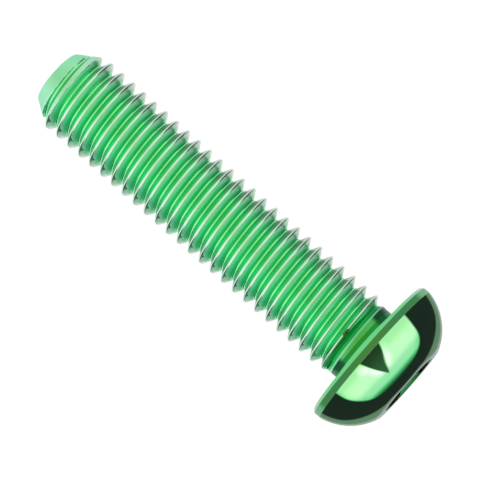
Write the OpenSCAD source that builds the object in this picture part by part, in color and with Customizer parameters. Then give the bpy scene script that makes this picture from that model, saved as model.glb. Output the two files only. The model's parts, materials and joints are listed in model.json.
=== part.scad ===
// Button head screw with a hexagon socket and a thread along its whole shank.
// It lies on its side as it comes to rest, on the edge of its head and on the
// first full crest near its tip. Millimetres, +Z up, head towards +X.

/* [Thread] */
// Diameter over the crests
thread_d = 7.8; // [7.4:0.05:8.4]
// Distance from one crest to the next
pitch = 1.25; // [1.1:0.05:1.5]
// Angle between the two flanks of the groove
flank_angle = 60; // [55:1:70]
// Width of the flat on top of a crest
crest_flat = 0.16; // [0.1:0.01:0.24]
// Width of the flat at the bottom of the groove
root_flat = 0.2; // [0.12:0.01:0.28]
// Turn of the thread about the screw's axis
thread_turn = 34; // [0:1:359]
// Straight steps in one turn of the thread
turn_steps = 40; // [24:4:44]

/* [Shank] */
// Length from the bearing face to the end of the tip
shank_l = 35.2; // [20:0.1:40]
// Diameter of the plain neck under the head
neck_d = 7.05; // [6.6:0.05:7.3]
// Length of the plain neck
neck_l = 0.95; // [0.8:0.05:2]
// Length over which the thread fades into the neck
runout_l = 1.3; // [0.6:0.05:2.5]
// Radius of the fillet between the neck and the bearing face
neck_fillet_r = 0.4; // [0.3:0.01:0.6]
// Diameter of the end face, up to the chamfer's sharp edge
tip_d = 4.95; // [4:0.05:5.5]
// Angle between the chamfer of the tip and the screw's axis
chamfer_angle = 33; // [25:1:45]
// Radius that rounds the edge of the end face
tip_edge_r = 0.25; // [0.1:0.05:0.4]

/* [Head] */
// Diameter of the rim
head_d = 13.92; // [12.5:0.02:15]
// Height of the head over its bearing face
head_h = 4.57; // [4:0.01:5.2]
// Height at which the rim ends and the dome begins
rim_h = 0.84; // [0.6:0.02:1.3]
// Width of the bevel at the rim's lower edge
bevel_w = 0.26; // [0.1:0.02:0.6]
// Height of the bevel at the rim's lower edge
bevel_h = 0.26; // [0.1:0.02:0.5]
// Radius of the dome's arc
dome_r = 5; // [4.4:0.1:7]
// Diameter of the flat on top of the dome
top_flat_d = 7.54; // [6.6:0.02:8.4]

/* [Socket] */
// Width of the hexagon across its flats
hex_w = 5.02; // [4:0.01:5.5]
// Depth of the hexagon's flat walls
hex_depth = 2.7; // [1.5:0.05:3]
// Full angle of the cone at the bottom of the socket
floor_angle = 130; // [118:1:160]
// Diameter of the blunt end of that cone
floor_flat_d = 0.8; // [0.4:0.1:2]
// Diameter of the countersink at the socket's mouth
mouth_d = 5.9; // [5.84:0.02:6.4]
// Full angle of the countersink
mouth_angle = 90; // [60:5:120]
// Turn of the hexagon about the screw's axis
hex_turn = 34; // [0:1:59]

/* [Hidden] */
$fn = 96;

// How far a faceted solid stays inside the true round that it runs into
skin = 0.01;

head_r = head_d / 2;
neck_r = neck_d / 2;
tip_r = tip_d / 2;
top_flat_r = top_flat_d / 2;
crest_r = thread_d / 2;
flank_l = (pitch - crest_flat - root_flat) / 2;
thread_depth = flank_l / tan(flank_angle / 2);
root_r = crest_r - thread_depth;

// The chamfer's straight line, its rounded edge, and where it meets the
// bottom of the groove and the crests. Heights count from the bearing face.
chamfer_slope = tan(chamfer_angle);
tip_z = -shank_l;
tip_arc_r = tip_r - tip_edge_r * (1 - sin(chamfer_angle)) / cos(chamfer_angle);
plain_tip_l = (root_r - tip_r) / chamfer_slope;
full_crest_z = tip_z + (crest_r - tip_r) / chamfer_slope;
function chamfer_at(z) = tip_r + (z - tip_z) * chamfer_slope;

// The faceted thread is joined to the true round tip on the part of the
// chamfer that the groove doesn't reach. It is joined to the true round neck
// where the last flank that fades out has ended.
tip_join_z = tip_z + plain_tip_l * 0.9;
thread_start_z = tip_z + plain_tip_l * 0.5;
neck_join_z = flank_l - neck_l;
thread_end_z = neck_join_z / 2;

// Rows of the thread's surface over one pitch, from the middle of a crest:
// how far along the axis each row lies, and its radius where it is full.
rows = [
    [-crest_flat / 2, crest_r],
    [crest_flat / 2, crest_r],
    [(pitch - root_flat) / 2, root_r],
    [(pitch + root_flat) / 2, root_r]
];
row_n = len(rows);
first_turn = floor((thread_start_z + crest_flat / 2) / pitch) - 2;
turn_n = ceil(thread_end_z / pitch) - first_turn + 3;
total_rows = turn_n * row_n;

// The corners start half a step off the underside, so that the screw lies on
// a flat between two of them
function step_angle(i) = 360 * (i + 0.5) / turn_steps;
// Height of row j at step i, where the crest rises by one pitch in a turn
function row_z(i, j) = (first_turn + floor(j / row_n) + (step_angle(i) - thread_turn) / 360) * pitch
    + rows[j % row_n][0];
// The thread is full up to the run-out, and gone where the neck begins
function fullness(z) = let (t = (-neck_l - z) / runout_l, u = max(0, min(1, t))) u * u * (3 - 2 * u);
function row_radius(z, full_r) =
    min(neck_r - skin + (full_r - neck_r + skin) * fullness(z), chamfer_at(z) - skin);
function held_z(z) = max(thread_start_z, min(thread_end_z, z));
// The lowest and the highest row of step i that still count. Rows beyond
// them would all fall on the same end ring.
function low_row(i) = max([for (j = [0:total_rows - 1]) if (row_z(i, j) <= thread_start_z) j]);
function high_row(i) = min([for (j = [0:total_rows - 1]) if (row_z(i, j) >= thread_end_z) j]);
low_rows = [for (i = [0:turn_steps - 1]) low_row(i)];
high_rows = [for (i = [0:turn_steps - 1]) high_row(i)];
function held_row(i, j) = max(low_rows[i], min(high_rows[i], j));
// A step past the last one is the first step again, one turn further on
function corner(i, j) = i < turn_steps ? i * total_rows + held_row(i, j) : held_row(0, j + row_n);

// The dome's arc runs from the rim's upper edge to the edge of the top flat
rim_top = [head_r, rim_h];
flat_edge = [top_flat_r, head_h];
dome_chord = norm(rim_top - flat_edge);
dome_inward = [rim_top[1] - flat_edge[1], flat_edge[0] - rim_top[0]] / dome_chord;
dome_centre = (rim_top + flat_edge) / 2 + dome_inward * sqrt(pow(dome_r, 2) - pow(dome_chord / 2, 2));

hex_corner_r = hex_w / 2 / cos(30);
floor_flat_r = floor_flat_d / 2;
floor_cone_h = (hex_corner_r - floor_flat_r) / tan(floor_angle / 2);
mouth_cone_h = mouth_d / 2 / tan(mouth_angle / 2);

// At rest the screw touches the ground with the rim's lower edge and with
// the tip's side of the first full crest on its underside, which is a flat
// between two corners.
first_full_turn = ceil((full_crest_z + crest_flat / 2) / pitch + thread_turn / 360);
rest_crest_z = (first_full_turn - thread_turn / 360) * pitch - crest_flat / 2;
rest_crest_r = crest_r * cos(180 / turn_steps);
rest_angle = atan((head_r - rest_crest_r) / (bevel_h - rest_crest_z));
rest_height = head_r * cos(rest_angle) - bevel_h * sin(rest_angle);
head_reach = head_h * cos(rest_angle) + top_flat_r * sin(rest_angle);
tip_reach = (shank_l - tip_edge_r) * cos(rest_angle) + tip_arc_r * sin(rest_angle) + tip_edge_r;

// Half section of the head and the neck, radius across and height up
module head_section() {
    polygon([
        [0, neck_join_z],
        [neck_r, neck_join_z],
        [neck_r, 0],
        [head_r - bevel_w, 0],
        [head_r, bevel_h],
        rim_top,
        flat_edge,
        [0, head_h]
    ]);
    intersection() {
        translate(dome_centre)
            circle(dome_r);
        translate([0, rim_h])
            square([head_r, head_h - rim_h]);
    }
    translate([neck_r, -neck_fillet_r])
        difference() {
            square(neck_fillet_r);
            translate([neck_fillet_r, 0])
                circle(neck_fillet_r);
        }
}

// Half section of the tip's end, which is smooth
module tip_section() {
    polygon([
        [0, tip_z],
        [tip_arc_r, tip_z],
        [tip_arc_r + tip_edge_r * cos(chamfer_angle), tip_z + tip_edge_r * (1 - sin(chamfer_angle))],
        [chamfer_at(tip_join_z), tip_join_z],
        [0, tip_join_z]
    ]);
    translate([tip_arc_r, tip_z + tip_edge_r])
        intersection() {
            circle(tip_edge_r);
            translate([0, -tip_edge_r])
                square(tip_edge_r);
        }
}

// Hexagon with a conical floor and a countersunk mouth, as a solid to cut away
module socket() {
    translate([0, 0, head_h - hex_depth])
        rotate([0, 0, hex_turn]) {
            cylinder(h = hex_depth + 1, r = hex_corner_r, $fn = 6);
            intersection() {
                translate([0, 0, -floor_cone_h])
                    cylinder(h = floor_cone_h, r1 = floor_flat_r, r2 = hex_corner_r);
                translate([0, 0, -floor_cone_h])
                    cylinder(h = floor_cone_h, r = hex_corner_r, $fn = 6);
            }
        }
    translate([0, 0, head_h - mouth_cone_h])
        cylinder(h = mouth_cone_h, r1 = 0, r2 = mouth_d / 2);
}

// The threaded shank: a right-handed groove around the axis, which starts on
// the chamfer of the tip and runs out into the neck.
module threaded_shank() {
    points = [
        for (i = [0:turn_steps - 1])
            for (j = [0:total_rows - 1])
                let (a = step_angle(i))
                let (z = held_z(row_z(i, j)))
                let (r = row_radius(z, rows[j % row_n][1]))
                [r * cos(a), r * sin(a), z]
    ];
    sides = [
        for (i = [0:turn_steps - 1])
            for (j = [0:total_rows - row_n - 2])
                let (a = corner(i, j))
                let (b = corner(i, j + 1))
                let (c = corner(i + 1, j + 1))
                let (d = corner(i + 1, j))
                for (face = [[a, b, c], [a, c, d]])
                    if (face[0] != face[1] && face[1] != face[2] && face[2] != face[0]) face
    ];
    start_ring = [for (i = [0:turn_steps - 1]) corner(i, 0)];
    end_ring = [for (i = [turn_steps - 1:-1:0]) corner(i, total_rows - 1)];
    polyhedron(points, concat(sides, [start_ring, end_ring]));
}

// The round surfaces begin and end on the upper side, half a turn away from
// the line on which the screw lies.
module screw() {
    difference() {
        union() {
            rotate([0, 0, 180])
                rotate_extrude()
                    head_section();
            threaded_shank();
            rotate([0, 0, 180])
                rotate_extrude()
                    tip_section();
        }
        socket();
    }
}

module button_head_screw() {
    color("mediumseagreen")
        translate([(tip_reach - head_reach) / 2, 0, rest_height])
            rotate([0, 90 - rest_angle, 0])
                screw();
}

button_head_screw();
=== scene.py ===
"""Button head screw: polished titanium, anodised green, lying on a pale table."""

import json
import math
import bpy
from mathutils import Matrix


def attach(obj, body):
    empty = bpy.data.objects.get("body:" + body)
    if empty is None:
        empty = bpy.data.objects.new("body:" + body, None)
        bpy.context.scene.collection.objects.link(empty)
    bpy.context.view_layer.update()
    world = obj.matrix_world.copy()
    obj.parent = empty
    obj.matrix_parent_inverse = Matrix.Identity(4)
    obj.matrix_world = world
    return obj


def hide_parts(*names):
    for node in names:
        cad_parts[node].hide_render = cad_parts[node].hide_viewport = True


bl_info = {
    "name": "Button Head Screw",
    "version": (1, 0, 0),
    "blender": (4, 5, 0),
    "location": "View3D > Sidebar > Screw",
    "description": "Adds a threaded button head screw, its anodised finish and a small studio",
    "category": "Add Mesh",
}

import bmesh
import bpy
from bpy.props import FloatProperty, FloatVectorProperty, IntProperty, PointerProperty
from mathutils import Matrix, Vector

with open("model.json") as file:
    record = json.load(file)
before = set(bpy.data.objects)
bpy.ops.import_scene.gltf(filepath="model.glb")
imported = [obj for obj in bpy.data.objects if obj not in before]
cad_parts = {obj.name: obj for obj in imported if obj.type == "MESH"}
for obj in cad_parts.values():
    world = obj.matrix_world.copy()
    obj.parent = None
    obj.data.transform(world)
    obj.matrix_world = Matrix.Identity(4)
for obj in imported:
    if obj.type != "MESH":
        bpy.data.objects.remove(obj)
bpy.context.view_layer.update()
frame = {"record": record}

NODE = "button_head_screw"
MM = 0.001
DRIVE = next(m for m in frame["record"]["mounts"] if m["name"] == "hexagon_drive")
PICTURE_WIDTH = 480
LEFT = (0.0, 1.0, 0.0)
WHITE = (1.0, 1.0, 1.0)

# Rows of faces on half a crest and on half a root, and spare turns at each end of the grid
ARC_ROWS = 3
SPARE_TURNS = 2
# Edges with a greater angle between their faces are drawn sharp
SHARP_ANGLE = math.radians(38)
# Half the table's width, in metres
TABLE_HALF = 1.5
# How far the run-out's end lags on one side and leads on the other, in millimetres
RUNOUT_SLANT = 0.18
# Place and half lengths of the nick in the last crest, in millimetres
NICK_HEIGHT, NICK_LEFT = -1.99, -0.17
NICK_WIDTH, NICK_LENGTH = 0.12, 0.38


def length(name, description, default_mm):
    """A length in metres, with its default given in millimetres."""
    return FloatProperty(
        name=name,
        description=description,
        default=default_mm * MM,
        min=0.0,
        unit="LENGTH",
        precision=5,
    )


def angle(name, description, default_deg):
    """An angle in radians, with its default given in degrees."""
    return FloatProperty(
        name=name, description=description, default=math.radians(default_deg), subtype="ANGLE"
    )


def colour(name, description, default):
    """A colour in linear light."""
    return FloatVectorProperty(
        name=name,
        description=description,
        default=default,
        size=3,
        min=0.0,
        max=1.0,
        subtype="COLOR",
    )


def level(name, description, default):
    """A plain number with no unit."""
    return FloatProperty(name=name, description=description, default=default, min=0.0)


def count(name, description, default):
    """A whole number of steps."""
    return IntProperty(name=name, description=description, default=default, min=1)


class ThreadSettings(bpy.types.PropertyGroup):
    """Sizes of the thread."""

    crest_d: length("Crest diameter", "Diameter over the crests", 7.8)
    pitch: length("Pitch", "Distance from one crest to the next", 1.25)
    crest_round: length("Crest rounding", "Radius that rounds the crests", 0.12)
    root_round: length("Root rounding", "Radius that rounds the roots", 0.17)
    flank_angle: angle("Flank angle", "Angle between the two flanks of the groove", 60)
    turn: angle("Turn", "Turn of the thread about the screw's axis", 34)
    columns: count("Columns", "Steps round the screw, a multiple of six", 96)
    pitch_rows: count("Rows", "Rows of faces along one pitch", 28)
    runout: length("Run-out", "Length over which the thread fades into the neck", 1.3)


class ShankSettings(bpy.types.PropertyGroup):
    """Sizes of the neck and the tip."""

    shank_l: length("Shank length", "From the bearing face to the end of the tip", 35.2)
    neck_d: length("Neck diameter", "Diameter of the plain neck", 7.05)
    neck_l: length("Neck length", "Length of the plain neck", 0.95)
    fillet_r: length("Neck fillet", "Fillet between the neck and the bearing face", 0.34)
    tip_d: length("Tip diameter", "End face, up to the chamfer's sharp edge", 4.95)
    tip_edge_r: length("Tip edge", "Radius that rounds the edge of the end face", 0.25)
    chamfer_angle: angle("Chamfer angle", "Between the chamfer and the screw's axis", 33)


class HeadSettings(bpy.types.PropertyGroup):
    """Sizes of the head and its socket."""

    head_d: length("Head diameter", "Diameter of the rim", 13.92)
    head_h: length("Head height", "Height of the head over its bearing face", 4.57)
    rim_h: length("Rim height", "Height at which the dome begins", 0.84)
    bevel_w: length("Bevel width", "Width of the bevel at the rim's lower edge", 0.26)
    bevel_h: length("Bevel height", "Height of the bevel at the rim's lower edge", 0.26)
    dome_r: length("Dome radius", "Radius of the dome's arc", 5.0)
    flat_d: length("Top flat", "Diameter of the flat on top of the dome", 7.54)
    edge_r: length("Edge rounding", "Radius that rounds the head's turned edges", 0.05)
    hex_w: length("Hexagon", "Width of the socket across its flats", 5.02)
    hex_depth: length("Socket depth", "Depth of the hexagon's flat walls", 2.7)
    mouth_d: length("Countersink", "Diameter of the countersink at the mouth", 5.9)
    floor_flat_d: length("Drill point", "Blunt end of the cone in the socket", 0.8)
    floor_angle: angle("Socket floor", "Full angle of the cone in the socket", 130)
    hex_turn: angle("Hexagon turn", "Turn of the hexagon about the screw's axis", 34)


class FinishSettings(bpy.types.PropertyGroup):
    """Colours and gloss of the anodised metal; some of the colours are painted light and shade."""

    head: colour("Head", "Colour of the head", (0.30, 0.83, 0.39))
    neck: colour("Neck", "Colour of the neck", (0.12, 0.95, 0.25))
    fading: colour("Run-out", "Colour of the groove where it runs out", (0.08, 0.82, 0.33))
    last_flank: colour("Last flank", "Colour of the flank beside the ridge", (0.012, 0.41, 0.066))
    ridge: colour("Ridge", "Colour of the groove's end at the neck", (0.22, 0.64, 0.35))
    neck_start: colour("Neck, start", "Colour of the neck at the groove's end", (0.075, 0.47, 0.09))
    # Socket: darker by painted shade
    socket: colour("Socket", "Colour inside the socket", (0.10, 0.34, 0.13))
    # Nick: a dent that isn't modelled, painted dark as its shade
    nick: colour("Nick", "Colour of the nick in the last crest", (0.10, 0.19, 0.06))
    # Painted shade on the neck's sides
    neck_side_shade: colour("Neck, sides", "Colour of the neck's darker sides", (0.05, 0.35, 0.12))
    # Edge on top of the head: a painted highlight
    edge: colour("Edge", "Colour of the worn edge on top of the head", (0.86, 1.0, 0.85))
    root: colour("Root", "Colour at the bottom of the groove", (0.26, 0.90, 0.34))
    # The head side's flank is paler by painted light, and the tip side's flank darker by painted
    # shade
    painted_light_low: colour("Pale flank, low", "Head side of a crest, near the root", (0.34, 0.92, 0.53))
    painted_light_high: colour("Pale flank, high", "Head side of a crest, near its top", (0.74, 0.94, 0.76))
    painted_shade_low: colour("Deep flank, low", "Tip side of a crest, near the root", (0.05, 0.46, 0.17))
    painted_shade_high: colour("Deep flank, high", "Tip side of a crest, near its top", (0.17, 0.57, 0.29))
    # Crest: paler by a painted highlight
    crest: colour("Crest", "Colour of the worn crests", (0.60, 0.92, 0.61))
    first_crest: colour("First crest", "Colour of the crest cut by the chamfer", (0.48, 1.0, 0.62))
    tip: colour("Tip", "Colour of the chamfer at the tip", (0.37, 1.0, 0.56))
    roughness: level("Roughness", "Roughness of the polished metal", 0.09)


class StudioSettings(bpy.types.PropertyGroup):
    """Camera, table and the light that the metal reflects."""

    target_x: length("Target X", "Point that the camera looks at", 1.094)
    target_z: length("Target Z", "Height that the camera looks at", 5.593)
    target_left: length("Target left", "How far the target lies off the screw's axis", 0.204)
    distance: length("Camera distance", "From the camera to its target", 260.1)
    tilt: angle("Camera tilt", "Off the vertical, towards the head", 1.888)
    roll: angle("Camera roll", "Turn of the picture about the view", 41.323)
    focal_px: level("Focal length", "In pixels of a picture 480 wide", 3083.2)
    tent_length: angle("Tent length", "Reach of the light along the screw, from above", 102)
    tent_width: angle("Tent width", "Reach of the light across the screw, from above", 75.5)
    wedge: angle("Wedge", "Half width of the dark wedge over the head, where it begins", 20)
    gap: level("Gap", "Brightness of the narrow gap beside the head", 0.27)
    dark: level("Dark", "Brightness of the room beyond the tent", 0.028)
    far_table: level("Far table", "Brightness of what the metal sees below the head", 0.27)


SETTINGS = {
    "thread": ThreadSettings,
    "shank": ShankSettings,
    "head": HeadSettings,
    "finish": FinishSettings,
    "studio": StudioSettings,
}


class ScrewSettings(bpy.types.PropertyGroup):
    """All settings of the screw and its studio."""

    thread: PointerProperty(type=ThreadSettings)
    shank: PointerProperty(type=ShankSettings)
    head: PointerProperty(type=HeadSettings)
    finish: PointerProperty(type=FinishSettings)
    studio: PointerProperty(type=StudioSettings)


class NodeMaker:
    """Adds nodes to one tree and links them. A value is a number or an output."""

    def __init__(self, tree):
        self.tree = tree

    def add(self, kind, values=None, **options):
        """One node, with its options set and its inputs given by name or number."""
        node = self.tree.nodes.new(kind)
        for option, choice in options.items():
            setattr(node, option, choice)
        for key, value in (values or {}).items():
            self.put(node.inputs[key], value)
        return node

    def put(self, socket, value):
        """Links the socket to an output, or sets its value."""
        if isinstance(value, bpy.types.NodeSocket):
            self.tree.links.new(value, socket)
        else:
            socket.default_value = value

    def math(self, operation, *values, clamp=False):
        """Output of one Math node."""
        kind = "ShaderNodeMath"
        node = self.add(kind, dict(enumerate(values)), operation=operation, use_clamp=clamp)
        return node.outputs[0]

    def vector(self, operation, *values):
        """Output of one Vector Math node."""
        node = self.add("ShaderNodeVectorMath", dict(enumerate(values)), operation=operation)
        scalar = operation in ("DOT_PRODUCT", "LENGTH", "DISTANCE")
        return node.outputs["Value" if scalar else "Vector"]

    def step(self, value, start, end, low=0.0, high=1.0):
        """Smooth step from low to high as the value goes from start to end."""
        sockets = {"Value": value, "From Min": start, "From Max": end}
        sockets |= {"To Min": low, "To Max": high}
        node = self.add("ShaderNodeMapRange", sockets, interpolation_type="SMOOTHSTEP")
        return node.outputs["Result"]

    def ramp(self, value, stops):
        """Colour that goes from stop to stop, each given by its value and its colour."""
        low, high = stops[0][0], stops[-1][0]
        share = self.add("ShaderNodeMapRange", {"Value": value, "From Min": low, "From Max": high})
        node = self.add("ShaderNodeValToRGB", {0: share.outputs["Result"]})
        elements = node.color_ramp.elements
        while len(elements) < len(stops):
            elements.new(0.5)
        for element, (at, shade) in zip(elements, stops):
            element.position = (at - low) / (high - low)
            element.color = (*shade, 1.0)
        return node.outputs["Color"]

    def product(self, first, second):
        """Two colours, multiplied."""
        node = self.add("ShaderNodeVectorMath", {0: first, 1: second}, operation="MULTIPLY")
        return node.outputs[0]

    def scale(self, tone, factor):
        """Colour times a number."""
        node = self.add("ShaderNodeVectorMath", {0: tone, "Scale": factor}, operation="SCALE")
        return node.outputs["Vector"]

    def mix(self, factor, first, second):
        """Mixes two colours."""
        node = self.add("ShaderNodeMix", data_type="RGBA")
        self.put(node.inputs[0], factor)
        for socket, value in ((node.inputs[6], first), (node.inputs[7], second)):
            self.put(socket, value if isinstance(value, bpy.types.NodeSocket) else (*value, 1.0))
        return node.outputs[2]


def screw_axis():
    """Unit vector along the screw, from its tip to its head."""
    return Vector(DRIVE["axis"]).normalized()


def bearing_centre(head):
    """Point of the screw's axis that lies in the bearing face."""
    return Vector(DRIVE["pos_m"]) - head.head_h * screw_axis()


def screw_place(head):
    """Matrix from the screw's own frame, bearing face at 0 and head up, to the row frame."""
    along = screw_axis()
    side = Vector((0.0, 1.0, 0.0))
    down = side.cross(along)
    turn = Matrix((down, side, along)).transposed().to_4x4()
    return Matrix.Translation(bearing_centre(head)) @ turn


def chamfer_radius(shank, height):
    """Radius of the tip's chamfer at a height along the screw."""
    return shank.tip_d / 2 + (height + shank.shank_l) * math.tan(shank.chamfer_angle)


def root_radius(thread):
    """Radius at the bottom of the groove."""
    half = thread.flank_angle / 2
    sharp_depth = thread.pitch / 2 / math.tan(half)
    rounding = (thread.crest_round + thread.root_round) * (1 / math.sin(half) - 1)
    return thread.crest_d / 2 - sharp_depth + rounding


def thread_ends(thread, shank):
    """Heights of the two rings at which the threaded tube joins the tip and the neck."""
    slope = math.tan(shank.chamfer_angle)
    plain_tip_l = (root_radius(thread) - shank.tip_d / 2) / slope
    return -shank.shank_l + 0.5 * plain_tip_l, -shank.neck_l / 2


def thread_tree():
    """Geometry Nodes that bend a grid into the threaded shank, one helical row after another."""
    tree = bpy.data.node_groups.new("threaded_shank", "GeometryNodeTree")
    lengths = (
        "Pitch",
        "Crest radius",
        "Crest rounding",
        "Root rounding",
        "Neck radius",
        "Neck length",
        "Run-out",
        "Tip radius",
        "Tip height",
        "Start",
        "End",
    )
    for name in lengths:
        tree.interface.new_socket(name, in_out="INPUT", socket_type="NodeSocketFloat")
    for name in ("Half angle", "Turn", "First angle", "Chamfer slope"):
        tree.interface.new_socket(name, in_out="INPUT", socket_type="NodeSocketFloat")
    for name in ("Columns", "Pitch rows", "Turns"):
        tree.interface.new_socket(name, in_out="INPUT", socket_type="NodeSocketInt")
    tree.interface.new_socket("Material", in_out="INPUT", socket_type="NodeSocketMaterial")
    tree.interface.new_socket("Geometry", in_out="OUTPUT", socket_type="NodeSocketGeometry")
    make = NodeMaker(tree)
    given = make.add("NodeGroupInput").outputs
    m = make.math

    all_rows = m("MULTIPLY", given["Turns"], given["Pitch rows"])
    sizes = {
        "Vertices X": m("ADD", given["Columns"], 1),
        "Vertices Y": m("ADD", all_rows, 1),
        "Size X": given["Columns"],
        "Size Y": all_rows,
    }
    grid = make.add("GeometryNodeMeshGrid", sizes)
    place = make.add("ShaderNodeSeparateXYZ", {0: make.add("GeometryNodeInputPosition").outputs[0]})
    column = m("ROUND", m("ADD", place.outputs["X"], m("DIVIDE", given["Columns"], 2)))
    row = m("ROUND", m("ADD", place.outputs["Y"], m("DIVIDE", all_rows, 2)))

    # Where the row lies between two crests, counted from the nearer crest
    turns_up = m("FLOOR", m("DIVIDE", row, given["Pitch rows"]))
    in_pitch = m("SUBTRACT", row, m("MULTIPLY", turns_up, given["Pitch rows"]))
    half_rows = m("DIVIDE", given["Pitch rows"], 2)
    beyond_root = m("GREATER_THAN", in_pitch, half_rows)
    from_crest = m("SUBTRACT", half_rows, m("ABSOLUTE", m("SUBTRACT", in_pitch, half_rows)))

    # Distance along the screw from the middle of that crest: a few rows on each
    # rounding, and rows on the flank that crowd towards its ends
    sin_half = m("SINE", given["Half angle"])
    cos_half = m("COSINE", given["Half angle"])
    steepness = m("DIVIDE", cos_half, sin_half)
    half_pitch = m("DIVIDE", given["Pitch"], 2)
    crest_end = m("MULTIPLY", given["Crest rounding"], cos_half)
    root_reach = m("MULTIPLY", given["Root rounding"], cos_half)
    root_end = m("SUBTRACT", half_pitch, root_reach)
    flat_angle = m("SUBTRACT", math.pi / 2, given["Half angle"])
    crest_arc = m("MULTIPLY", m("DIVIDE", m("MINIMUM", from_crest, ARC_ROWS), ARC_ROWS), flat_angle)
    on_crest = m("MULTIPLY", given["Crest rounding"], m("SINE", crest_arc))
    from_root = m("SUBTRACT", half_rows, from_crest)
    root_arc = m("MULTIPLY", m("DIVIDE", m("MINIMUM", from_root, ARC_ROWS), ARC_ROWS), flat_angle)
    on_root = m("MULTIPLY", given["Root rounding"], m("SINE", root_arc))
    flank_half = m("SUBTRACT", m("DIVIDE", half_rows, 2), ARC_ROWS)
    flank_share = m("DIVIDE", m("SUBTRACT", from_crest, m("DIVIDE", half_rows, 2)), flank_half)
    crowd = m("POWER", m("MINIMUM", m("ABSOLUTE", flank_share), 1), 0.6)
    flank_place = m("ADD", 0.5, m("MULTIPLY", 0.5, m("MULTIPLY", crowd, m("SIGN", flank_share))))
    flank_l = m("SUBTRACT", root_end, crest_end)
    on_flank = m("MULTIPLY", flank_place, flank_l)
    from_crest_l = m("ADD", m("ADD", on_crest, on_flank), m("SUBTRACT", root_reach, on_root))

    # Radius of the full thread there
    crest_drop = m(
        "SUBTRACT",
        given["Crest rounding"],
        m("MULTIPLY", given["Crest rounding"], m("COSINE", crest_arc)),
    )
    flank_drop = m("MULTIPLY", on_flank, steepness)
    root_drop = m(
        "MULTIPLY",
        given["Root rounding"],
        m("SUBTRACT", m("COSINE", root_arc), sin_half),
    )
    drop = m("ADD", m("ADD", crest_drop, flank_drop), root_drop)
    full_radius = m("SUBTRACT", given["Crest radius"], drop)

    # Height of the row, which climbs by one pitch in a turn
    offset = m(
        "ADD",
        m("MULTIPLY", from_crest_l, m("SUBTRACT", 1, m("MULTIPLY", 2, beyond_root))),
        m("MULTIPLY", beyond_root, given["Pitch"]),
    )
    around = m("MULTIPLY", m("DIVIDE", column, given["Columns"]), 2 * math.pi)
    own_angle = m("ADD", around, given["First angle"])
    climbed = m("DIVIDE", m("SUBTRACT", own_angle, given["Turn"]), 2 * math.pi)
    first_turn = m("FLOOR", m("DIVIDE", given["Start"], given["Pitch"]))
    lowest = m("SUBTRACT", first_turn, SPARE_TURNS)
    whole_turns = m("ADD", m("ADD", lowest, turns_up), climbed)
    free_height = m("ADD", m("MULTIPLY", whole_turns, given["Pitch"]), offset)
    height = m("MAXIMUM", given["Start"], m("MINIMUM", given["End"], free_height))

    # The run-out into the neck and the chamfer of the tip
    below_neck = m("SUBTRACT", m("MULTIPLY", given["Neck length"], -1), height)
    fullness = make.step(m("DIVIDE", below_neck, given["Run-out"]), 0.0, 1.0)
    over_neck = m("SUBTRACT", full_radius, given["Neck radius"])
    faded = m("ADD", given["Neck radius"], m("MULTIPLY", over_neck, fullness))
    above_tip = m("SUBTRACT", height, given["Tip height"])
    chamfer = m("ADD", given["Tip radius"], m("MULTIPLY", above_tip, given["Chamfer slope"]))
    radius = m("MINIMUM", faded, chamfer)

    corner = {
        "X": m("MULTIPLY", radius, m("COSINE", own_angle)),
        "Y": m("MULTIPLY", radius, m("SINE", own_angle)),
        "Z": height,
    }
    moved = make.add(
        "GeometryNodeSetPosition",
        {
            "Geometry": grid.outputs["Mesh"],
            "Position": make.add("ShaderNodeCombineXYZ", corner).outputs[0],
        },
    )
    closed = make.add(
        "GeometryNodeMergeByDistance", {"Geometry": moved.outputs[0], "Distance": 0.0005 * MM}
    )
    smooth = make.add("GeometryNodeSetShadeSmooth", {"Geometry": closed.outputs[0]})
    real = make.add("GeometryNodeRealizeInstances", {"Geometry": smooth.outputs[0]})
    painted = make.add(
        "GeometryNodeSetMaterial",
        {"Geometry": real.outputs[0], "Material": given["Material"]},
    )
    make.add("NodeGroupOutput", {"Geometry": painted.outputs[0]})
    return tree


def set_inputs(modifier, values):
    """Sets a Geometry Nodes modifier's inputs, given by name, through their identifiers."""
    sockets = {item.name: item for item in modifier.node_group.interface.items_tree}
    for name, value in values.items():
        modifier[sockets[name].identifier] = value


def make_thread(settings, material):
    """Mesh of the threaded shank in the screw's own frame, open at both ends."""
    thread, shank = settings.thread, settings.shank
    start, end = thread_ends(thread, shank)
    holder = bpy.data.objects.new("threaded_shank", bpy.data.meshes.new("threaded_shank"))
    bpy.context.scene.collection.objects.link(holder)
    modifier = holder.modifiers.new("Thread", "NODES")
    modifier.node_group = thread_tree()
    values = {
        "Pitch": thread.pitch,
        "Crest radius": thread.crest_d / 2,
        "Crest rounding": thread.crest_round,
        "Root rounding": thread.root_round,
        "Half angle": thread.flank_angle / 2,
        "Turn": thread.turn,
        "First angle": settings.head.hex_turn,
        "Neck radius": shank.neck_d / 2,
        "Neck length": shank.neck_l,
        "Run-out": thread.runout,
        "Tip radius": shank.tip_d / 2,
        "Tip height": -shank.shank_l,
        "Chamfer slope": math.tan(shank.chamfer_angle),
        "Start": start,
        "End": end,
        "Columns": thread.columns,
        "Pitch rows": thread.pitch_rows,
        "Turns": math.ceil((end - start) / thread.pitch) + 2 * SPARE_TURNS,
        "Material": material,
    }
    set_inputs(modifier, values)
    graph = bpy.context.evaluated_depsgraph_get()
    mesh = bpy.data.meshes.new_from_object(holder.evaluated_get(graph), depsgraph=graph)
    tree = modifier.node_group
    holder.modifiers.remove(modifier)
    bpy.data.objects.remove(holder)
    bpy.data.node_groups.remove(tree)
    return mesh


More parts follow.
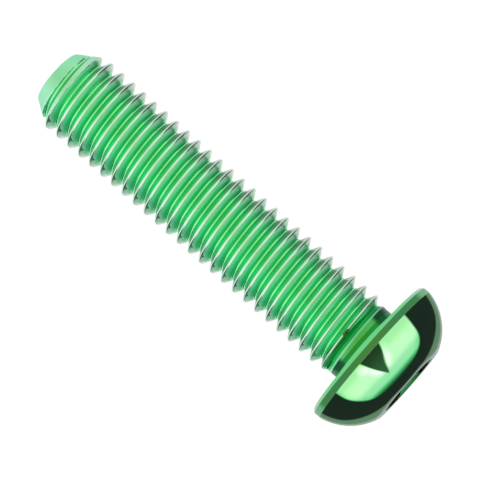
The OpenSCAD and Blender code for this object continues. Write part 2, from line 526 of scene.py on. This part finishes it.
def arc(centre, radius, first_deg, last_deg, steps):
    """Points of an arc, as pairs of radius and height. Angle 0 points away from the axis."""
    points = []
    for i in range(steps + 1):
        at = math.radians(first_deg + (last_deg - first_deg) * i / steps)
        points.append((centre[0] + radius * math.cos(at), centre[1] + radius * math.sin(at)))
    return points


def line(first, last, steps):
    """Points inside a straight line, without its two ends."""
    shares = [i / steps for i in range(1, steps)]
    return [tuple(a + (b - a) * s for a, b in zip(first, last)) for s in shares]


def held(first, last, share=0.12):
    """Points near both ends of a straight line, which keep its shading flat in between."""
    return [tuple(a + (b - a) * s for a, b in zip(first, last)) for s in (share, 1 - share)]


def rounded(before, corner, after, radius, steps=3):
    """Points that round one corner of an outline with a small arc."""
    here = Vector(corner)
    back = (Vector(before) - here).normalized()
    ahead = (Vector(after) - here).normalized()
    half = math.acos(max(-1.0, min(1.0, back.dot(ahead)))) / 2
    centre = here + (back + ahead).normalized() * radius / math.sin(half)
    first = here + back * radius / math.tan(half) - centre
    sweep = first.angle_signed(here + ahead * radius / math.tan(half) - centre)
    points = []
    for i in range(steps + 1):
        spoke = first.copy()
        spoke.rotate(Matrix.Rotation(-sweep * i / steps, 2))
        points.append(tuple(centre + spoke))
    return points


def head_outline(settings):
    """Outline of the neck and the head, from the thread's end to the socket's mouth."""
    shank, head = settings.shank, settings.head
    neck_r = shank.neck_d / 2
    head_r = head.head_d / 2
    flat_r = head.flat_d / 2
    bearing_edge = (head_r - head.bevel_w, 0.0)
    bevel_edge = (head_r, head.bevel_h)
    rim_edge = (head_r, head.rim_h)
    flat_edge = (flat_r, head.head_h)

    chord = Vector(flat_edge) - Vector(rim_edge)
    inward = Vector((-chord.y, chord.x)).normalized()
    reach = math.sqrt(head.dome_r**2 - (chord.length / 2) ** 2)
    centre = (Vector(rim_edge) + Vector(flat_edge)) / 2 + inward * reach
    first, last = (
        math.degrees(math.atan2(p[1] - centre.y, p[0] - centre.x)) for p in (rim_edge, flat_edge)
    )
    dome = arc(centre, head.dome_r, first, last, 40)

    fillet_centre = (neck_r + shank.fillet_r, -shank.fillet_r)
    fillet = arc(fillet_centre, shank.fillet_r, 180, 90, 8)
    corners = [
        rounded(fillet[-1], bearing_edge, bevel_edge, head.edge_r),
        rounded(bearing_edge, bevel_edge, rim_edge, head.edge_r),
        rounded(bevel_edge, rim_edge, dome[1], head.edge_r / 2),
        rounded(dome[-3], flat_edge, (0.0, head.head_h), head.edge_r * 2),
    ]
    outline = fillet + held(fillet[-1], corners[0][0], 0.02) + corners[0]
    for before, after in zip(corners, corners[1:3]):
        outline += held(before[-1], after[0]) + after
    outline += held(corners[2][-1], dome[1], 0.3) + dome[1:-2]
    outline += held(dome[-3], corners[3][0], 0.3) + corners[3]
    return outline


def tip_outline(settings):
    """Outline of the tip, from the thread's start to the middle of the end face."""
    shank = settings.shank
    end = -shank.shank_l
    edge_r = shank.tip_edge_r
    slant = shank.chamfer_angle
    face_r = shank.tip_d / 2 - edge_r * (1 - math.sin(slant)) / math.cos(slant)
    edge = arc((face_r, end + edge_r), edge_r, -math.degrees(slant), -90, 8)
    start = thread_ends(settings.thread, shank)[0]
    chamfer_start = (chamfer_radius(shank, start), start)
    return line(chamfer_start, edge[0], 3) + edge + line(edge[-1], (0.0, end), 5) + [(0.0, end)]


def socket_rows(settings):
    """Rows of the socket's surface, each a function of the angle from a hexagon's corner."""
    head = settings.head
    corner_r = head.hex_w / 2 / math.cos(math.radians(30))
    mouth_r = head.mouth_d / 2
    edge_r = head.edge_r / 2
    wall_end = head.head_h - head.hex_depth
    floor_slope = 1 / math.tan(head.floor_angle / 2)
    drill_r = head.floor_flat_d / 2

    def hexagon(at):
        within = (at % math.radians(60)) - math.radians(30)
        return head.hex_w / 2 / math.cos(within)

    def wall(share):
        def row(at):
            r = hexagon(at)
            top = head.head_h - (mouth_r - r)
            bottom = wall_end - (corner_r - r) * floor_slope
            return r, top + (bottom - top) * share

        return row

    def floor(share):
        def row(at):
            r = hexagon(at) + (drill_r - hexagon(at)) * share
            return r, wall_end - (corner_r - r) * floor_slope

        return row

    bottom = wall_end - (corner_r - drill_r) * floor_slope
    mouth = rounded(
        (mouth_r + 1, head.head_h), (mouth_r, head.head_h), (mouth_r - 1, head.head_h - 1), edge_r
    )
    rows = [lambda at, p=p: p for p in mouth]
    rows += [wall(i / 6) for i in range(7)]
    rows += [floor(i / 5) for i in range(1, 6)]
    rows += [lambda at: (drill_r / 2, bottom), lambda at: (0.0, bottom)]
    return rows


def make_turned(settings, material):
    """Mesh of everything but the thread, in the screw's own frame: head, socket and tip."""
    columns = settings.thread.columns
    first = settings.head.hex_turn
    steps = [2 * math.pi * i / columns for i in range(columns)]
    start, end = thread_ends(settings.thread, settings.shank)
    head_rows = [lambda at, p=p: p for p in [(settings.shank.neck_d / 2, end)]]
    head_rows += [lambda at, p=p: p for p in head_outline(settings)]
    head_rows += socket_rows(settings)
    tip_rows = [lambda at: (chamfer_radius(settings.shank, start), start)]
    tip_rows += [lambda at, p=p: p for p in tip_outline(settings)]

    shape = bmesh.new()
    for rows in (head_rows, tip_rows):
        rings = []
        for row in rows:
            ring = []
            for at in steps:
                r, z = row(at)
                spot = (r * math.cos(at + first), r * math.sin(at + first), z)
                ring.append(shape.verts.new(spot))
            rings.append(ring)
        for lower, upper in zip(rings, rings[1:]):
            for i in range(columns):
                j = (i + 1) % columns
                shape.faces.new((lower[i], lower[j], upper[j], upper[i]))
    mesh = bpy.data.meshes.new("turned_parts")
    shape.to_mesh(mesh)
    shape.free()
    mesh.materials.append(material)
    return mesh


def join_closed(name, meshes, place, material):
    """One closed mesh from several that share their end rings, moved to its place."""
    shape = bmesh.new()
    for mesh in meshes:
        shape.from_mesh(mesh)
        bpy.data.meshes.remove(mesh)
    bmesh.ops.remove_doubles(shape, verts=shape.verts, dist=0.001 * MM)
    bmesh.ops.recalc_face_normals(shape, faces=shape.faces)
    for face in shape.faces:
        face.smooth = True
        face.material_index = 0
    shape.transform(place)
    open_edges = sum(not edge.is_manifold for edge in shape.edges)
    if open_edges:
        raise RuntimeError(f"{name} has {open_edges} open edges")
    joined = bpy.data.meshes.new(name)
    shape.to_mesh(joined)
    shape.free()
    joined.materials.append(material)
    joined.set_sharp_from_angle(angle=SHARP_ANGLE)
    piece = bpy.data.objects.new(name, joined)
    bpy.context.scene.collection.objects.link(piece)
    return piece


def anodised_metal(settings):
    """Polished titanium under a green anodic layer, with painted highlights on the crests and on
    the top flat's edge, painted light and shade on the thread's flanks, and painted shade at the
    neck's sides, on the nick and in the socket.
    """
    finish, thread, shank, head = settings.finish, settings.thread, settings.shank, settings.head
    material = bpy.data.materials.new("anodised_titanium")
    material.use_nodes = True
    tree = material.node_tree
    tree.nodes.clear()
    make = NodeMaker(tree)
    m = make.math

    # Height along the screw, distance from its axis and offset to its left side, in
    # millimetres, and how far the surface faces the head or the left side
    where = make.add("ShaderNodeTexCoord").outputs["Object"]
    offset = make.vector("SUBTRACT", where, bearing_centre(head))
    along = make.vector("DOT_PRODUCT", offset, screw_axis())
    on_axis = make.scale(screw_axis(), along)
    radial = make.vector("LENGTH", make.vector("SUBTRACT", offset, on_axis))
    height = m("DIVIDE", along, MM)
    radius = m("DIVIDE", radial, MM)
    lateral = m("DIVIDE", make.vector("DOT_PRODUCT", offset, LEFT), MM)
    normal = make.add("ShaderNodeNewGeometry").outputs["Normal"]
    facing_head = make.vector("DOT_PRODUCT", normal, screw_axis())
    facing_left = make.vector("DOT_PRODUCT", normal, LEFT)

    # Thread: from root to crest, the head side's flank paler by painted light, the tip side's flank
    # darker by painted shade, and a painted highlight on the crest
    crest_r = thread.crest_d / 2 / MM
    root_r = root_radius(thread) / MM
    share = m("DIVIDE", m("SUBTRACT", radius, root_r), crest_r - root_r)
    pale = [
        (0.0, finish.root),
        (0.06, finish.painted_light_low),
        (0.4, finish.painted_light_low),
        (0.6, finish.painted_light_high),
        (0.84, finish.painted_light_high),
        (0.95, finish.crest),
    ]
    painted_shade_ramp = [
        (0.0, finish.root),
        (0.06, finish.painted_shade_low),
        (0.12, finish.painted_shade_low),
        (0.5, finish.painted_shade_high),
        (0.80, finish.painted_shade_high),
        (0.97, finish.crest),
    ]
    towards_head = make.step(facing_head, -0.3, 0.3)
    colour_at = make.mix(towards_head, make.ramp(share, painted_shade_ramp), make.ramp(share, pale))

    # Tip: the plain chamfer, and the first crest, which the chamfer cuts
    chamfer_faces = -math.sin(shank.chamfer_angle)
    off_chamfer = m("ABSOLUTE", m("SUBTRACT", facing_head, chamfer_faces))
    first_crest_end = (-shank.shank_l + thread.crest_d / 2) / MM
    on_chamfer = make.step(off_chamfer, 0.12, 0.2, 1.0, 0.0)
    on_chamfer = m("MULTIPLY", on_chamfer, m("LESS_THAN", height, first_crest_end))
    colour_at = make.mix(on_chamfer, colour_at, finish.first_crest)

    # Run-out: a darker groove, which ends in a pale ridge. The ridge follows the thread's
    # slant, and its last flank is darker than the groove.
    neck = -shank.neck_l / MM
    slanted = m("ADD", height, m("MULTIPLY", facing_left, RUNOUT_SLANT))
    fading = make.mix(make.step(share, 0.7, 0.9), finish.fading, colour_at)
    colour_at = make.mix(make.step(slanted, neck - 0.95, neck - 0.75), colour_at, fading)
    # The nick in the last crest: a dent that isn't modelled, painted dark as its shade on the faces
    # that look up
    in_nick = m(
        "ADD",
        m("POWER", m("DIVIDE", m("SUBTRACT", height, NICK_HEIGHT), NICK_WIDTH), 2.0),
        m("POWER", m("DIVIDE", m("SUBTRACT", lateral, NICK_LEFT), NICK_LENGTH), 2.0),
    )
    facing_up = m("GREATER_THAN", make.vector("DOT_PRODUCT", normal, (0.0, 0.0, 1.0)), 0.0)
    in_nick = m("MULTIPLY", make.step(in_nick, 0.4, 1.6, 1.0, 0.0), facing_up)
    colour_at = make.mix(in_nick, colour_at, finish.nick)
    colour_at = make.mix(make.step(slanted, neck - 0.66, neck - 0.58), colour_at, finish.last_flank)
    colour_at = make.mix(make.step(slanted, neck - 0.34, neck - 0.30), colour_at, finish.ridge)

    # Neck: lighter where the run-out ends, and darker at its sides by painted shade
    mirror_start = neck + 0.22
    beside = make.step(m("ABSOLUTE", facing_left), 0.53, 0.68)
    neck_start = make.mix(beside, finish.neck_start, make.scale(finish.neck_side_shade, 0.2))
    colour_at = make.mix(make.step(slanted, neck - 0.18, neck - 0.12), colour_at, neck_start)
    plain_neck = make.mix(beside, finish.neck, finish.neck_side_shade)
    on_thread = m("LESS_THAN", height, mirror_start)
    colour_at = make.mix(on_thread, plain_neck, colour_at)

    # Head: a painted highlight at the edge of its top flat, and painted shade in the socket
    head_h, flat_r = head.head_h / MM, head.flat_d / 2 / MM
    colour_at = make.mix(make.step(height, -0.4, -0.2), colour_at, finish.head)
    on_edge = make.step(height, head_h - 0.11, head_h - 0.06)
    on_edge = m("MULTIPLY", on_edge, make.step(radius, flat_r - 0.19, flat_r - 0.11))
    colour_at = make.mix(on_edge, colour_at, finish.edge)
    # Painted shade inside the socket
    in_socket = m("LESS_THAN", radius, head.mouth_d / 2 / MM)
    in_socket = m("MULTIPLY", in_socket, make.step(height, 0.0, 0.1))
    colour_at = make.mix(in_socket, colour_at, finish.socket)

    chamfer_end = (-shank.shank_l + (root_radius(thread) - shank.tip_d / 2) * 1.5) / MM
    colour_at = make.mix(make.step(height, chamfer_end + 0.2, chamfer_end), colour_at, finish.tip)

    # Low between the flanks the metal keeps its colour even where it is seen at a low angle
    in_groove = m("MULTIPLY", make.step(share, 0.4, 0.8, 0.4, 0.0), on_thread)
    grazing = make.mix(in_groove, WHITE, colour_at)

    # The head is a mirror, and the rolled thread is a little less smooth
    shader = make.add(
        "ShaderNodeBsdfPrincipled",
        {
            "Base Color": colour_at,
            "Metallic": 1.0,
            "Roughness": m("MULTIPLY", on_thread, finish.roughness),
            "Specular Tint": grazing,
        },
    )
    make.add("ShaderNodeOutputMaterial", {"Surface": shader.outputs[0]})
    return material


def table_material():
    """Pale table: white to the camera with a faint shadow, and clear to the metal."""
    material = bpy.data.materials.new("pale_table")
    material.use_nodes = True
    tree = material.node_tree
    tree.nodes.clear()
    make = NodeMaker(tree)
    rays = make.add("ShaderNodeLightPath").outputs
    clear = make.add("ShaderNodeBsdfTransparent")
    glow = make.add("ShaderNodeEmission", {"Strength": 0.97})
    lit = make.add("ShaderNodeBsdfDiffuse", {"Color": (0.05, 0.05, 0.05, 1.0)})
    pale = make.add("ShaderNodeAddShader", {0: glow.outputs[0], 1: lit.outputs[0]})
    mixed = make.add(
        "ShaderNodeMixShader",
        {0: rays["Is Glossy Ray"], 1: pale.outputs[0], 2: clear.outputs[0]},
    )
    make.add("ShaderNodeOutputMaterial", {"Surface": mixed.outputs[0]})
    return material


def head_light(make, studio, u, v, from_top):
    """Tones that the head reflects: a light tent with a dark wedge in it, and a dark room."""
    m = make.math
    across = m("ABSOLUTE", v)

    # The tent is a rounded square, which fades to green-grey at its edge. With a power of 2
    # it would be an ellipse, and it is a little squarer on the left.
    power = make.step(v, -30.0, 30.0, 2.6, 2.8)
    off_middle = m("ABSOLUTE", m("ADD", v, make.step(u, 40.0, 80.0, 3.6, 0.0)))
    long_share = m("DIVIDE", m("ABSOLUTE", u), math.degrees(studio.tent_length))
    wide_share = m("DIVIDE", off_middle, math.degrees(studio.tent_width))
    reach = m("ADD", m("POWER", long_share, power), m("POWER", wide_share, power))
    reach = m("POWER", reach, m("DIVIDE", 1.0, power))
    in_tent = make.step(reach, 0.98, 1.03, 1.0, 0.0)
    brightest = (1.8, 1.3, 1.4)
    tent_tones = [
        (0, WHITE),
        (30, (1.3, 1.1, 1.0)),
        (46, brightest),
        (60, brightest),
        (74, (1.1, 1.0, 1.1)),
        (86, (0.9, 1.0, 1.0)),
        (94, (0.2, 0.5, 0.35)),
        (101, (0.06, 0.12, 0.09)),
    ]
    tone_at = m("ADD", u, make.step(v, -45.0, 10.0, 3.0, 0.0))
    at_edge = m("MAXIMUM", make.step(u, 45.0, 75.0), make.step(v, -70.0, -40.0, 1.0, 0.0))
    at_edge = m("MULTIPLY", at_edge, make.step(reach, 0.88, 1.0))
    edge_tint = make.mix(at_edge, WHITE, (0.55, 0.9, 0.7))

    # The wedge narrows towards the head, with a bright strip on both sides of it. Its left
    # side is softer near the point.
    into_head = m("MAXIMUM", m("DIVIDE", m("SUBTRACT", u, 14.0), 62.0), 0.0)
    half_wedge = m("SUBTRACT", 1.0, m("POWER", into_head, 1.3))
    half_wedge = m("MULTIPLY", half_wedge, math.degrees(studio.wedge))
    off_wedge = m("ABSOLUTE", m("ADD", v, make.step(u, 20.0, 60.0, 3.2, 4.8)))
    past_wedge = m("SUBTRACT", off_wedge, half_wedge)
    softer = m("MULTIPLY", make.step(v, -4.0, 2.0), make.step(u, 30.0, 50.0, 0.0, 2.5))
    past_edge = m("DIVIDE", past_wedge, m("ADD", 1.6, softer))
    in_wedge = m("MULTIPLY", make.step(past_edge, -1.0, 1.0, 1.0, 0.0), make.step(u, 13.5, 15.5))
    wedge_tone = make.mix(make.step(u, 20.0, 60.0), (0.055, 0.055, 0.045), (0.09, 0.13, 0.10))
    strip_ends = m("MULTIPLY", make.step(u, 18.0, 50.0), make.step(u, 58.0, 72.0, 1.0, 0.0))
    strip = m("MULTIPLY", make.step(past_wedge, 1.0, 14.0, 0.8, 0.0), strip_ends)
    off_spot = m(
        "ADD",
        m("POWER", m("DIVIDE", m("SUBTRACT", u, 31.0), 10.0), 2.0),
        m("POWER", m("DIVIDE", m("ADD", v, 28.0), 8.0), 2.0),
    )
    brighter = m("ADD", m("ADD", 1.0, strip), make.step(off_spot, 0.0, 1.6, 0.7, 0.0))
    tent = make.product(make.scale(make.ramp(tone_at, tent_tones), brighter), edge_tint)

    # Beyond the tent the room is dark, and far below there is the pale table
    far = m("ADD", from_top, make.step(u, 60.0, 110.0, 0.0, 4.0))
    far = m("SUBTRACT", far, make.step(across, 28.0, 40.0, 0.0, 3.0))
    table = make.scale(WHITE, make.step(from_top, 155.0, 163.0, studio.far_table, 0.45))
    room = make.scale((1.3, 1.0, 1.35), studio.dark)
    outside = make.mix(make.step(far, 136.0, 141.0), room, table)
    return make.mix(in_wedge, make.mix(in_tent, outside, tent), wedge_tone)


def gap_light(make, studio, v, axial):
    """Tones that the rim reflects from the tip's side: pale, with an olive gap across."""
    across = make.math("ABSOLUTE", v)
    pale = make.mix(make.step(across, 50.0, 95.0), (0.54, 0.76, 0.63), (0.82, 0.70, 0.86))
    olive = make.mix(make.step(across, 20.0, 60.0), (0.78, 1.0, 0.43), (0.68, 0.98, 0.74))
    olive = make.mix(make.step(across, 112.0, 132.0), olive, (1.6, 1.9, 1.85))
    return make.mix(make.step(axial, -0.2, -0.15), pale, make.scale(olive, studio.gap))


def tones_across(make, v, *tones):
    """Five tones from the screw's right side to its left side, over its top."""
    return make.ramp(v, list(zip((-110, -55, 0, 55, 110), tones)))


def thread_light(make, u, v, from_top, depth):
    """Tones that the thread reflects: of the room, and of its own grooves in between."""
    m = make.math
    across = m("ABSOLUTE", v)

    # Reflected once: the tent, brighter at the far sides, and the dark room past it
    tent = tones_across(
        make,
        v,
        (0.95, 1.0, 1.15),
        (1.3, 1.05, 1.2),
        (0.85, 0.85, 0.75),
        (1.0, 0.95, 0.95),
        (0.85, 0.8, 0.95),
    )
    rim = make.step(across, 110.0, 150.0, 1.0, 1.5)
    tent = make.scale(tent, m("MULTIPLY", rim, make.step(u, -55.0, -40.0, 0.8, 1.0)))
    sooner = m("ADD", make.step(v, -112.0, -92.0, 27.0, 0.0), make.step(v, 60.0, 110.0, 0.0, 20.0))
    wider = m("ADD", across, make.step(u, 50.0, 75.0, 0.0, 14.0))
    past_end = make.step(m("ADD", u, sooner), 14.0, 32.0)
    past_tent = m("MULTIPLY", past_end, make.step(wider, 66.0, 86.0))
    low_room = make.mix(make.step(u, 35.0, 65.0), (0.05, 0.11, 0.08), (0.13, 0.27, 0.18))
    under_head = m("MULTIPLY", make.step(v, -60.0, -50.0, 1.0, 0.0), make.step(u, 85.0, 100.0))
    high_room = make.mix(under_head, (0.03, 0.06, 0.045), (0.045, 0.13, 0.08))
    room = make.mix(make.step(v, -105.0, -90.0), low_room, high_room)
    once = make.mix(past_tent, tent, room)

    # Below, the table: paler towards the outline
    table_at = m("SUBTRACT", from_top, make.step(across, 65.0, 85.0, 8.0, 0.0))
    table_at = m("SUBTRACT", table_at, make.step(u, 50.0, 90.0, 14.0, 0.0))
    table = make.mix(make.step(v, -20.0, 20.0), (0.3, 0.5, 0.4), (0.45, 0.55, 0.5))
    table = make.mix(make.step(across, 80.0, 150.0), table, (0.85, 0.75, 0.8))
    once = make.mix(make.step(table_at, 138.0, 145.0), once, table)

    # Reflected twice: other tones on the way back to the tip than on the way to the head
    forward = tones_across(
        make,
        v,
        (0.8, 0.75, 0.95),
        (0.5, 1.05, 1.05),
        (0.5, 0.8, 0.65),
        (0.45, 0.8, 0.75),
        (0.95, 0.5, 0.8),
    )
    dimmer = make.step(u, 5.0, 25.0, 1.0, make.step(across, 50.0, 110.0, 1.25, 0.8))
    dimmer = m("MULTIPLY", dimmer, make.step(u, 55.0, 80.0, 1.0, 0.5))
    forward = make.scale(forward, dimmer)
    forward = make.product(forward, make.mix(make.step(u, 6.0, 20.0), (0.85, 1.0, 0.95), WHITE))
    backward = tones_across(
        make,
        v,
        (0.8, 0.95, 1.2),
        (1.0, 1.2, 1.2),
        (1.75, 1.25, 1.4),
        (1.2, 1.1, 1.25),
        (1.9, 0.85, 1.4),
    )
    twice = make.mix(make.step(u, -50.0, -34.0), backward, forward)

    # Reflected three times: brighter over the middle of the groove
    thrice = tones_across(
        make,
        v,
        (0.9, 0.6, 1.1),
        (0.85, 0.9, 1.25),
        (1.5, 0.7, 1.1),
        (1.35, 0.75, 1.2),
        (0.95, 0.4, 0.8),
    )
    over_middle = m("SUBTRACT", make.step(u, -25.0, -8.0), make.step(u, 6.0, 18.0))
    thrice = make.scale(thrice, m("ADD", 1.1, over_middle))

    # (a ray that was reflected once counts as depth 2 where it reaches the world)
    later = make.mix(make.step(depth, 3.0, 4.0), twice, thrice)
    return make.mix(m("GREATER_THAN", depth, 2.5), once, later)


def studio_light(settings):
    """World: white to the camera, and to the metal a light tent in a dark room."""
    studio = settings.studio
    world = bpy.data.worlds.new("studio")
    world.use_nodes = True
    tree = world.node_tree
    tree.nodes.clear()
    make = NodeMaker(tree)
    m = make.math
    rays = make.add("ShaderNodeLightPath").outputs
    towards = make.vector("NORMALIZE", make.add("ShaderNodeTexCoord").outputs["Generated"])
    axial = make.vector("DOT_PRODUCT", towards, screw_axis())
    lateral = make.vector("DOT_PRODUCT", towards, LEFT)
    raised = make.vector("DOT_PRODUCT", towards, screw_axis().cross(Vector(LEFT)))

    # Flat map of all directions: degrees from straight above, along and across
    from_top = m("MULTIPLY", m("ARCCOSINE", raised), math.degrees(1.0))
    flat = m("MAXIMUM", m("SQRT", m("ADD", m("POWER", axial, 2.0), m("POWER", lateral, 2.0))), 1e-4)
    u = m("DIVIDE", m("MULTIPLY", from_top, axial), flat)
    v = m("DIVIDE", m("MULTIPLY", from_top, lateral), flat)

    # Rays from the mirror-smooth head are singular, those from the thread aren't
    depth = rays["Ray Depth"]
    by_head = make.mix(
        make.step(axial, -0.045, -0.025),
        gap_light(make, studio, v, axial),
        head_light(make, studio, u, v, from_top),
    )
    by_head = make.scale(by_head, make.step(depth, 2.5, 2.6, 1.0, 0.4))
    by_thread = thread_light(make, u, v, from_top, depth)
    seen = make.mix(rays["Is Singular Ray"], by_thread, by_head)

    to_metal = make.add("ShaderNodeBackground", {"Color": seen, "Strength": 1.0})
    to_camera = make.add("ShaderNodeBackground", {"Color": (*WHITE, 1.0), "Strength": 1.0})
    mixed = make.add(
        "ShaderNodeMixShader",
        {0: rays["Is Glossy Ray"], 1: to_camera.outputs[0], 2: to_metal.outputs[0]},
    )
    make.add("ShaderNodeOutputWorld", {"Surface": mixed.outputs[0]})
    return world


def make_camera(settings):
    """Camera above the screw, where the photograph was taken from."""
    studio = settings.studio
    tilt = studio.tilt
    target = Vector((studio.target_x, -studio.target_left, studio.target_z))
    away = Vector((math.sin(tilt), 0.0, math.cos(tilt)))
    along = Vector((math.cos(tilt), 0.0, -math.sin(tilt)))
    right = along * math.cos(studio.roll) + Vector((0.0, 1.0, 0.0)) * math.sin(studio.roll)
    up = away.cross(right)
    data = bpy.data.cameras.new("camera")
    data.sensor_width = 36.0
    data.lens = data.sensor_width * studio.focal_px / PICTURE_WIDTH
    data.clip_start = 10 * MM
    data.clip_end = 10.0
    camera = bpy.data.objects.new("camera", data)
    turn = Matrix((right, up, away)).transposed().to_4x4()
    camera.matrix_world = Matrix.Translation(target + away * studio.distance) @ turn
    bpy.context.scene.collection.objects.link(camera)
    bpy.context.scene.camera = camera
    return camera


class SCREW_OT_add_screw(bpy.types.Operator):
    """Add the whole screw as one closed, anodised piece"""

    bl_idname = "screw.add_screw"
    bl_label = "Add Screw"

    def execute(self, context):
        settings = context.scene.button_head_screw
        material = anodised_metal(settings)
        meshes = [make_thread(settings, material), make_turned(settings, material)]
        piece = join_closed("polished_screw", meshes, screw_place(settings.head), material)
        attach(piece, "root")
        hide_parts(NODE)
        return {"FINISHED"}


class SCREW_OT_add_studio(bpy.types.Operator):
    """Add the pale table, the light tent and the camera"""

    bl_idname = "screw.add_studio"
    bl_label = "Add Studio"

    def execute(self, context):
        settings = context.scene.button_head_screw
        half = TABLE_HALF
        mesh = bpy.data.meshes.new("table")
        corners = [(-half, -half, 0.0), (half, -half, 0.0), (half, half, 0.0), (-half, half, 0.0)]
        mesh.from_pydata(corners, [], [(0, 1, 2, 3)])
        mesh.materials.append(table_material())
        table = bpy.data.objects.new("table", mesh)
        context.scene.collection.objects.link(table)
        context.scene.world = studio_light(settings)
        make_camera(settings)
        context.scene.view_settings.view_transform = "Standard"
        return {"FINISHED"}


class SCREW_PT_panel(bpy.types.Panel):
    """Settings of the screw in the sidebar"""

    bl_label = "Button Head Screw"
    bl_idname = "SCREW_PT_panel"
    bl_space_type = "VIEW_3D"
    bl_region_type = "UI"
    bl_category = "Screw"

    def draw(self, context):
        settings = context.scene.button_head_screw
        for group in SETTINGS:
            box = self.layout.box()
            box.label(text=group.capitalize())
            for name in SETTINGS[group].__annotations__:
                box.prop(getattr(settings, group), name)
        self.layout.operator(SCREW_OT_add_screw.bl_idname)
        self.layout.operator(SCREW_OT_add_studio.bl_idname)


CLASSES = (
    *SETTINGS.values(),
    ScrewSettings,
    SCREW_OT_add_screw,
    SCREW_OT_add_studio,
    SCREW_PT_panel,
)


def register():
    """Registers the classes and hangs the settings on the scene."""
    for cls in CLASSES:
        bpy.utils.register_class(cls)
    bpy.types.Scene.button_head_screw = PointerProperty(type=ScrewSettings)


def unregister():
    """Takes the settings and the classes away again."""
    del bpy.types.Scene.button_head_screw
    for cls in reversed(CLASSES):
        bpy.utils.unregister_class(cls)


def main():
    """Builds the screw and its studio."""
    register()
    bpy.ops.screw.add_screw()
    bpy.ops.screw.add_studio()


if __name__ == "__main__":
    main()
